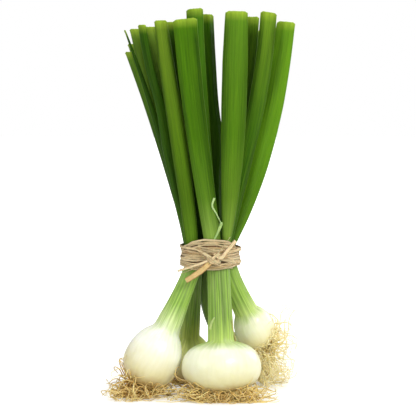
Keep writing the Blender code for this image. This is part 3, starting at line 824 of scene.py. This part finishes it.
def growRoots(name, look, trees):
    centres, radii = tubeSections(name + "_bulb")
    down = Vector(unit(centres[0] - centres[1]))
    plate = Vector(centres[0]) + down * 0.2 * mm
    low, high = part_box(name + "_roots")
    middle = (low + high) / 2
    reach = max(high.x - low.x, high.y - low.y) / 2
    rng = random.Random(look["seed"])
    side = down.orthogonal().normalized()
    other = down.cross(side)
    step, edge = rootWay["step"], rootWay["edge"]
    keepLow, keepHigh = cadLow - rootWay["past"], cadHigh + rootWay["past"]
    paths = []
    for number in range(look["count"]):
        around = rng.uniform(0, 2 * math.pi)
        out = side * math.cos(around) + other * math.sin(around)
        point = plate + out * radii[0] * math.sqrt(rng.random()) * 0.9
        heading = (down * rng.uniform(0.3, 1.0) + out * rng.uniform(0.6, 1.6) * look["spread"]).normalized()
        stray = rng.random() < look["stray"]
        length = rng.uniform(*look["length"]) * mm
        bend = randomVector(rng, 0.6)
        lift = rng.uniform(0.0, 1.0)
        coil = Quaternion(randomVector(rng).normalized(), rng.uniform(-1, 1) * look["loop"])
        homeFrom = rootWay["strayHome"] if stray else rootWay["home"]
        path = [point.copy()]
        for count in range(int(length / step)):
            wander = noiseVector(point * 90 + Vector((number * 3.1, 0, 0)))
            if count % rootWay["bendEvery"] == 0:
                bend = (bend * 0.5 + randomVector(rng, 0.7)).normalized()
            climb = rootWay["sink"] if point.z > look["pile"] else rootWay["lift"] * lift
            if stray:
                climb = rootWay["archUp"] if count * step / length < 0.5 else rootWay["archDown"]
            home = Vector((middle.x - point.x, middle.y - point.y, 0))
            away = max(0.0, home.length / reach - homeFrom)
            pull = Vector((0, look["forward"], climb))
            heading += bend * look["curl"] * 0.5 + wander * look["curl"] + pull
            heading += home.normalized() * away * rootWay["homePull"]
            if point.z < rootWay["ground"]:
                heading.z = max(heading.z, -0.05) + 0.12 * lift
            if point.y < look["nearest"]:
                heading.y += 0.35 + (look["nearest"] - point.y) * 120
            for axis, limit in ((0, cadHigh.x - edge), (1, cadHigh.y - edge)):
                over = abs(point[axis]) - limit * (rootWay["edgeFrom"] + (1 - rootWay["edgeFrom"]) * lift)
                if over > 0:
                    heading[axis] -= math.copysign(0.3 + over * 300, point[axis])
            heading.normalize()
            heading.rotate(coil)
            point = pushOut(point + heading * step, trees, look["thickness"] * 1.15)
            point = Vector([min(max(v, a), b) for v, a, b in zip(point, keepLow, keepHigh)])
            path.append(point.copy())
        paths.append(np.array(path))
    return paths


def makeRoots():
    trees = solidTrees([name + "_bulb" for name in onionNames])
    for name, look in rootLooks.items():
        node = name + "_roots"
        paths = growRoots(name, look, trees)
        mesh = strandMesh(node + "_visual", paths, rootMaterial(name, look), Spacing=1.5 * mm,
                          Thickness=look["thickness"], Kink=0.35 * mm, Sides=6, Seed=look["seed"])
        addPiece(node + "_grown", mesh, mesh.materials[0], "root_fibre", node)


tieWraps = ("raffia_wrap_1", "raffia_wrap_2", "raffia_wrap_3")
raffiaLook = dict(tones=[(96, 58, 18), (206, 178, 126), (242, 224, 178)], thick=0.30 * mm, across=7)
# How the strands lie on the wraps. Those at overKnot's heights and above its layer bow out over the
# knot. bowWidth, bulgeAt and bulgeWidth are angles round the tie from there, in radians
tieShape = dict(around=144, sink=1.5 * mm, layerRise=0.55 * mm, waver=0.35 * mm, uneven=0.45 * mm,
                overKnot=(7.5, 9.61, 1.4), bow=2.0, bowWidth=0.34, bulge=0.8, bulgeAt=1.15, bulgeWidth=0.42)
# Each strand goes once round. First is its height in millimetres above the tie's bottom at the left
# edge, the front left, the knot, the front right and the right edge. Then come its width, its layer,
# which is how far it lies above the ones below it, and how far it stands off at the right
tieStrands = [
    ((15.0, 19.2, 20.2, 18.4, 12.6), 2.0, 0.6, 0.0),
    ((14.0, 17.6, 18.8, 17.0, 11.6), 1.8, 1.0, 0.0),
    ((12.8, 16.0, 17.2, 15.4, 10.8), 2.1, 0.5, 0.0),
    ((11.4, 14.2, 15.4, 13.8, 9.6), 1.7, 0.9, 0.0),
    ((15.4, 18.2, 17.8, 14.6, 9.0), 1.3, 1.5, 0.0),
    ((12.0, 15.4, 18.2, 18.2, 13.4), 1.2, 1.6, 0.0),
    ((15.0, 14.6, 9.6, 6.4, 4.6), 2.3, 2.6, 0.0),
    ((13.4, 12.6, 9.2, 7.2, 6.4), 1.9, 1.9, 0.2),
    ((11.8, 11.2, 9.0, 9.2, 9.0), 2.2, 1.6, 0.8),
    ((10.2, 9.8, 8.6, 10.6, 10.4), 1.8, 2.1, 1.0),
    ((8.6, 8.4, 8.2, 11.6, 11.8), 2.1, 1.5, 0.6),
    ((7.2, 7.0, 7.8, 7.8, 7.6), 1.9, 1.9, 1.2),
    ((6.0, 5.2, 5.6, 4.8, 5.4), 1.7, 1.4, 0.7),
    ((4.6, 2.8, 2.6, 3.8, 4.2), 2.0, 1.1, 0.4),
    ((3.8, 1.7, 1.6, 2.4, 2.8), 1.8, 0.6, 0.0),
    ((5.6, 4.0, 3.8, 5.6, 5.8), 1.6, 1.6, 0.5),
    ((7.8, 10.0, 9.4, 12.8, 13.0), 3.0, 2.3, 1.5),
    ((6.6, 8.4, 8.0, 8.8, 8.2), 2.8, 1.3, 1.5),
    ((9.6, 11.6, 11.2, 14.4, 14.0), 1.8, 1.7, 0.8),
    ((12.4, 13.6, 13.8, 12.6, 11.6), 2.2, 0.6, 0.0),
    ((11.0, 12.2, 12.4, 12.2, 11.2), 2.0, 0.9, 0.0),
    ((13.2, 15.2, 14.6, 13.2, 10.4), 1.7, 1.2, 0.0),
    ((9.8, 10.8, 11.0, 11.6, 10.8), 2.2, 0.5, 0.3),
    ((8.4, 9.4, 9.6, 7.8, 7.0), 1.9, 0.7, 0.3),
    ((10.8, 12.8, 13.2, 12.0, 11.0), 2.4, 0.0, 0.0),
    ((11.6, 15.6, 16.4, 14.4, 11.0), 2.4, 0.0, 0.0),
    ((9.0, 9.0, 10.0, 9.4, 8.6), 2.6, 0.0, 0.0),
    ((6.4, 6.0, 6.0, 6.4, 6.6), 2.6, 0.0, 0.0),
]


def raffiaMaterial(name, tones, seed):
    material, add, shader = newMaterial(name)
    place = attribute(add, "fibrePlace", "Vector")
    fine = streaks(add, place, 5.0, 0.05, 3.0, seed)
    broad = streaks(add, place, 1.6, 0.25, 2.4, seed + 5)
    dark, middle, light = (linear(*tone) for tone in tones)
    color = ramp(add, fine, [(0.0, dark), (0.35, middle), (1.0, light)])
    color = mix(add, times(add, broad, 0.5), color, middle)
    color = mix(add, times(add, attribute(add, "tint"), 0.5), color, light)
    # painted shade: each strand darkens towards its edges, where it sinks between the strands beside it
    color = mix(add, mapped(add, attribute(add, "side"), 0.0, 0.9, 0.62, 1.0), color, dark)
    fill(shader, {
        "Base Color": color, "Roughness": mapped(add, broad, 0.5, 0.75),
        "Normal": bumped(add, fine, 0.5, 0.0005), "Sheen Weight": 0.15,
        "Subsurface Weight": 0.08, "Subsurface Scale": 0.001,
    })
    return material


def ribbon(name, path, outs, widths, seed, closed=False, folds=0.3):
    # a creased flat strip along a path. outs point away from what it lies on
    rng = random.Random(seed)
    thick, count = raffiaLook["thick"], raffiaLook["across"]
    tangents = unit(np.gradient(path, axis=0))
    if closed:
        tangents = unit(np.roll(path, -1, axis=0) - np.roll(path, 1, axis=0))
    outs = unit(outs - tangents * np.sum(outs * tangents, axis=1, keepdims=True))
    lies = np.cross(tangents, outs)
    creases = [rng.uniform(-1, 1) for _ in range(count)]
    rings, places, sides = [], [], []
    tint = rng.random()
    along = lengthsAlong(path)
    total = along[-1]
    for row in range(len(path)):
        turn = 2 * math.pi * along[row] / max(total, 1e-9)
        c, s = math.cos(turn), math.sin(turn)
        ring, spots = [], []
        for face in (1, -1):
            for k in range(count):
                j = k if face > 0 else count - 1 - k
                share = j / (count - 1) * 2 - 1
                fold = creases[j] * 0.6 + 0.8 * noiseAt(share * 2.5 + seed, c * 2, s * 2)
                edge = 1 - 0.55 * share * share
                lift = fold * folds * mm * edge - share * share * 0.25 * mm
                lift += face * thick / 2 * (0.35 + 0.65 * edge)
                wobble = 1 + 0.12 * noiseAt(c * 3, s * 3, seed + 0.5)
                ring.append(path[row] + lies[row] * share * widths[row] / 2 * wobble + outs[row] * lift)
                spots.append((share * 1.5 + 0.2 * face, seed, along[row] / mm))
                sides.append(abs(share))
        rings.append(ring)
        places.append(spots)
    low = None if closed else np.mean(rings[0], axis=0)
    high = None if closed else np.mean(rings[-1], axis=0)
    mesh = loft(name, rings, low=low, high=high, joined=closed,
                facts={"fibrePlace": places, "side": sides, "tint": np.full(len(sides), tint)})
    faceOut(mesh)
    return mesh


def tieOutline():
    # the tie's middle, and how far its outside is from there at each angle, for each of its wraps
    boxes = [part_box(wrap) for wrap in tieWraps]
    middle = sum(((a + b) / 2 for a, b in boxes), Vector()) / 3
    angles = np.radians(np.arange(0, 360, 5))
    tables, heights = [], []
    for wrap, (a, b) in zip(tieWraps, boxes):
        spots = np.array([v.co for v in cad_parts[wrap].data.vertices])[:, :2] - np.array(middle[:2])
        reach = np.linalg.norm(spots, axis=1)
        turn = np.arctan2(spots[:, 1], spots[:, 0])
        table = []
        for angle in angles:
            near = np.abs((turn - angle + math.pi) % (2 * math.pi) - math.pi) < math.radians(6)
            table.append(reach[near].max())
        tables.append(table)
        heights.append((a.z + b.z) / 2)
    return middle, angles, np.array(tables), np.array(heights), boxes[0][0].z


def makeTie():
    middle, angles, tables, heights, bottom = tieOutline()
    knotLow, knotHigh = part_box("raffia_knot")
    knot = (knotLow + knotHigh) / 2 + Vector((0, 0, 1.9 * mm))
    knotAngle = math.atan2(knot.y - middle.y, knot.x - middle.x)
    straw = raffiaMaterial("raffia_straw", raffiaLook["tones"], 2.0)
    deepStraw = raffiaMaterial("raffia_deep", [(92, 56, 20), (180, 146, 92), (216, 190, 138)], 4.0)
    pale = raffiaMaterial("raffia_pale", [(132, 90, 40), (228, 200, 146), (248, 230, 188)], 7.0)
    # a dark copy of the straw, painted shade for the lowest strands, seen only in the gaps between those over
    # them
    shadedGapStraw = raffiaMaterial("raffia_shaded_gap", [(52, 28, 8), (92, 58, 24), (128, 90, 46)], 5.0)
    turns = np.linspace(-math.pi, math.pi, tieShape["around"], endpoint=False)

    def outside(angle, z):
        closed = np.append(angles, 2 * math.pi)
        reaches = [np.interp(angle % (2 * math.pi), closed, np.append(table, table[0])) for table in tables]
        return float(np.interp(z, heights, reaches))

    spread = np.radians((-180, -100, -68, -36, 0, 36, 68, 100, 180))
    offs = (turns - knotAngle + math.pi) % (2 * math.pi) - math.pi
    for number, (at, width, layer, bulge) in enumerate(tieStrands):
        left, *middles, right = at
        back = (left + right) / 2
        climbs = smoothThrough((back, left, left, *middles, right, right, back), spread, offs)
        lowest, highest, shallowest = tieShape["overKnot"]
        overKnot = lowest < at[2] < highest and layer > shallowest
        slim = 0.72 if layer > 0.3 else 1.0
        path, outs, widths = [], [], []
        for turn, off, climb in zip(turns, offs, climbs):
            near = math.exp(-(off / tieShape["bowWidth"]) ** 2) * (1 if overKnot else 0)
            stand = math.exp(-((off - tieShape["bulgeAt"]) / tieShape["bulgeWidth"]) ** 2) * bulge
            c, s = math.cos(turn), math.sin(turn)
            z = bottom + climb * mm + tieShape["waver"] * noiseAt(c * 2.5, s * 2.5, number * 1.7)
            r = outside(turn, z) - tieShape["sink"] + layer * tieShape["layerRise"]
            r += (tieShape["bow"] * near + tieShape["bulge"] * stand) * mm
            r += tieShape["uneven"] * noiseAt(c * 3.2, s * 3.2, number + 9.3)
            out = np.array((c, s, 0.0))
            path.append(np.array((middle.x, middle.y, 0)) + out * r + np.array((0, 0, z)))
            outs.append(out + np.array((0, 0, 0.5 * noiseAt(c * 2, s * 2, number + 30.5))))
            widths.append(width * slim * mm * (1 - 0.3 * near + 0.35 * noiseAt(c * 4, s * 4, number + 50.5)))
        name = f"raffia_strand_{number + 1}"
        mesh = ribbon(name + "_visual", np.array(path), np.array(outs), widths, number + 1, True)
        # painted shade: strands of the lowest layer take the dark straw
        fibre = shadedGapStraw if layer < 0.3 else deepStraw if number % 5 == 3 else straw
        addPiece(name, mesh, fibre, "raffia", *(() if number else tieWraps))
    makeKnot(knot, straw, pale)
    makeTails(knot, pale)


# Short strips that cross over each other, as (across, up, towards the front) from the knot's middle
knotStrips = [
    dict(width=2.4, seed=31, points=[(-6.0, 3.4, -1.6), (-3.0, 1.8, 0.4), (0.2, -0.4, 1.6), (2.8, -2.0, 0.8),
                                     (5.0, -2.6, -1.2)]),
    dict(width=2.2, seed=32, points=[(-4.4, -2.0, -1.4), (-1.8, -1.4, 0.4), (0.4, 0.6, 2.2), (2.4, 2.2, 1.0),
                                     (4.2, 3.4, -0.8)]),
    dict(width=2.0, seed=33, points=[(-2.6, 2.4, -1.0), (-2.8, 0.0, 1.2), (-1.4, -2.0, 1.6), (0.8, -2.8, 0.2),
                                     (3.2, -3.4, -1.4)]),
    dict(width=2.2, seed=34, points=[(1.0, 3.0, -1.2), (2.8, 1.8, 0.8), (3.8, 0.0, 1.2), (3.0, -1.8, 0.4),
                                     (1.6, -2.8, -1.2)]),
]
# start is where a tail leaves the knot, across and up from its middle, in millimetres
tailLooks = {
    "raffia_tail_up": dict(width=2.8, start=(2.4, 1.8)),
    "raffia_tail_low": dict(width=4.0, start=(-1.0, -1.6)),
    "raffia_tail_side": dict(width=1.7, start=(-2.0, -0.8)),
}


def stripAlong(name, points, outs, width, seed, rows=40, taper=0.0, folds=0.35):
    points = np.array(points, float)
    along = lengthsAlong(points)
    where = np.linspace(0, along[-1], rows)
    path = smoothThrough(points, along, where)
    turned = smoothThrough(np.array(outs, float), along, where)
    widths = [width * (1 - taper * share) for share in np.linspace(0, 1, rows)]
    return ribbon(name, path, turned, widths, seed, folds=folds)


def makeKnot(knot, straw, pale):
    for number, strip in enumerate(knotStrips):
        points = [(knot.x + x * mm, knot.y - (y - 0.5) * mm, knot.z + z * mm) for x, z, y in strip["points"]]
        outs = [(x * 0.08, -1.0, z * 0.08) for x, z, y in strip["points"]]
        name = f"raffia_knot_strip_{number + 1}"
        mesh = stripAlong(name + "_visual", points, outs, strip["width"] * mm, strip["seed"])
        # every second strip takes the pale straw, which paints in the knot's bright highlights
        addPiece(name, mesh, pale if number % 2 else straw, "raffia", *(() if number else ("raffia_knot",)))


def makeTails(knot, pale):
    amber = raffiaMaterial("raffia_amber", [(150, 98, 36), (212, 172, 100), (240, 214, 150)], 6.0)
    for node, look in tailLooks.items():
        centres = tubeSections(node)[0]
        near, far = (np.linalg.norm(centres[end] - np.array(knot)) for end in (0, -1))
        if near > far:
            centres = centres[::-1]
        across, up = look["start"]
        start = np.array((knot.x + across * mm, knot.y + 0.2 * mm, knot.z + up * mm))
        points = np.vstack([start, centres - np.array((0, 1.2 * mm, 0))])
        outs = [(0.1, -1.0, 0.25)] * len(points)
        mesh = stripAlong(node + "_visual", points, outs, look["width"] * mm, len(node), rows=36, taper=0.15,
                          folds=0.8)
        addPiece(node + "_strip", mesh, amber if node == "raffia_tail_low" else pale, "raffia", node)


# Thin scraps that lie on the front of a solid, as places across and up, in millimetres
scraps = {
    "membrane_high": dict(over=("front_leaf_1", "front_leaf_2"), width=1.5, lift=0.45, slot="leaf_green",
                          points=[(8.4, 128.4), (7.0, 123.6), (9.6, 118.4), (13.0, 111.4)],
                          tones=[(130, 172, 74), (166, 200, 116), (200, 222, 160)]),
    "membrane_low": dict(over=("front_leaf_1", "front_leaf_2"), width=2.2, lift=0.45, slot="leaf_green",
                         points=[(13.2, 112.6), (11.2, 107.4), (8.2, 101.4)],
                         tones=[(130, 172, 74), (160, 196, 106), (194, 218, 150)]),
    "flap": dict(over=("front_bulb",), width=2.6, lift=0.5, slot="leaf_green",
                 points=[(5.9, 44.6), (6.6, 48.6), (8.4, 52.6)],
                 tones=[(120, 150, 60), (172, 198, 104), (206, 222, 150)]),
    "sliver_low": dict(over=("front_bulb",), width=1.2, lift=0.4, slot="bulb_skin",
                       points=[(22.0, 36.4), (21.4, 39.6), (20.2, 44.0), (19.4, 50.0)],
                       tones=[(110, 84, 36), (176, 160, 92), (214, 204, 140)]),
    "sliver_high": dict(over=("front_bulb",), width=0.9, lift=0.3, slot="bulb_skin",
                        points=[(20.6, 40.0), (20.0, 46.0), (19.6, 58.0)],
                        tones=[(120, 120, 50), (160, 180, 84), (200, 214, 130)]),
    "fibre_left": dict(over=("raffia_wrap_1", "raffia_knot"), width=0.7, lift=1.2, slot="raffia",
                       points=[(1.4, 86.0), (-6.0, 82.6), (-15.2, 79.4)],
                       tones=raffiaLook["tones"]),
    "fibre_up": dict(over=("raffia_wrap_3", "raffia_knot"), width=0.6, lift=1.4, slot="raffia",
                     points=[(9.0, 91.0), (13.6, 97.0), (18.6, 103.6)],
                     tones=raffiaLook["tones"]),
    "fibre_across": dict(over=("raffia_wrap_1", "raffia_knot"), width=1.0, lift=1.6, slot="raffia",
                         points=[(-3.0, 95.6), (2.0, 92.6), (7.6, 88.4), (14.0, 84.6), (20.0, 83.0)],
                         tones=raffiaLook["tones"]),
}


def makeScraps():
    for number, (name, scrap) in enumerate(scraps.items()):
        trees = solidTrees(scrap["over"])
        points, last = [], -0.02
        for x, z in scrap["points"]:
            hits = [tree.ray_cast(Vector((x * mm, -0.2, z * mm)), Vector((0, 1, 0)))[0] for tree in trees]
            last = min([hit.y for hit in hits if hit], default=last)
            points.append((x * mm, last - scrap["lift"] * mm, z * mm))
        outs = [(0.1, -1.0, 0.1)] * len(points)
        mesh = stripAlong(name + "_visual", points, outs, scrap["width"] * mm, 70 + number, taper=0.6,
                          folds=0.2)
        skin = raffiaMaterial(name + "_skin", scrap["tones"], 9.0 + number)
        addPiece(name + "_scrap", mesh, skin, scrap["slot"])


def makeGround():
    bpy.ops.mesh.primitive_plane_add(size=8, location=(0, 0, 0))
    ground = bpy.context.object
    ground.name = "ground"
    material, add, shader = newMaterial("pale_ground")
    place = add("ShaderNodeTexCoord").outputs["Object"]
    grain = add("ShaderNodeTexNoise", {"Vector": place, "Scale": 3.0, "Detail": 2.0}).outputs["Fac"]
    pale = studio["floor"]
    # paper white to the eye, less so close to the bunch, where its soft shadow falls
    away = add("ShaderNodeVectorMath", {0: place}, operation="LENGTH").outputs["Value"]
    glow = mapped(add, away, studio["glow"], studio["farGlow"], 0.08, 0.6)
    seen = add("ShaderNodeLightPath").outputs["Is Camera Ray"]
    fill(shader, {
        "Base Color": mix(add, grain, pale, tuple(c * 0.985 for c in pale)), "Roughness": 0.9,
        "Specular IOR Level": 0.1, "Emission Color": (1, 1, 1, 1),
        "Emission Strength": times(add, glow, mapped(add, seen, studio["bounce"], 1.0)),
    })
    ground.data.materials.append(material)


print("making the scene")
makeCamera()
makeStudio()
for name, look in bulbLooks.items():
    makeBulb(name, look)
print("bulbs and necks grown")
for number, (name, look) in enumerate(leafLooks.items()):
    makeLeaf(name, look, 40 + number * 3)
print("leaves grown")
makeRoots()
print("roots grown")
makeTie()
print("raffia tied")
makeScraps()
print("scraps laid")
makeGround()
print("ground laid")
print("cad box", [round(v, 4) for v in (*cadLow, *cadHigh)])
